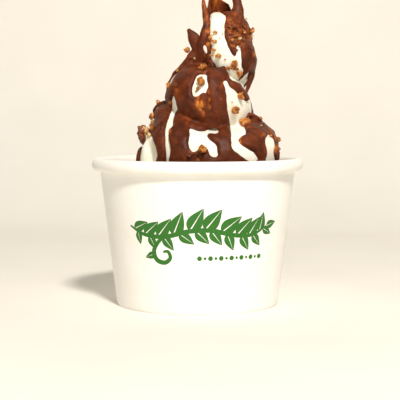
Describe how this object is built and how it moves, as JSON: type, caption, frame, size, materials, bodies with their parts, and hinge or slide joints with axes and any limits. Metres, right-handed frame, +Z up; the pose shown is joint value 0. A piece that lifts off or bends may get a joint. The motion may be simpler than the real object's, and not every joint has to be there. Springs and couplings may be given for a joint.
{
  "type": "frozen yogurt cup",
  "caption": "Paper cup with a rolled rim, holding a tall soft-serve frozen yogurt swirl under a set chocolate coat.",
  "frame": {"origin": "middle of the ring on the floor that the cup stands on", "axes": "+Z up, along the cup's axis; -Y is the cup's front, and the swirl leans towards +X"},
  "size_m": [0.096, 0.096, 0.1418],
  "materials": {
    "coated_board": "white clay-coated board, satin",
    "frozen_yogurt": "soft-serve frozen yogurt, creamy white and slightly wet",
    "set_chocolate": "thin chocolate coat that has set hard, satin brown"
  },
  "bodies": {
    "root": {"cup_wall": "coated_board", "cup_bottom": "coated_board", "frozen_yogurt": "frozen_yogurt", "chocolate_coat": "set_chocolate"}
  },
  "joints": []
}
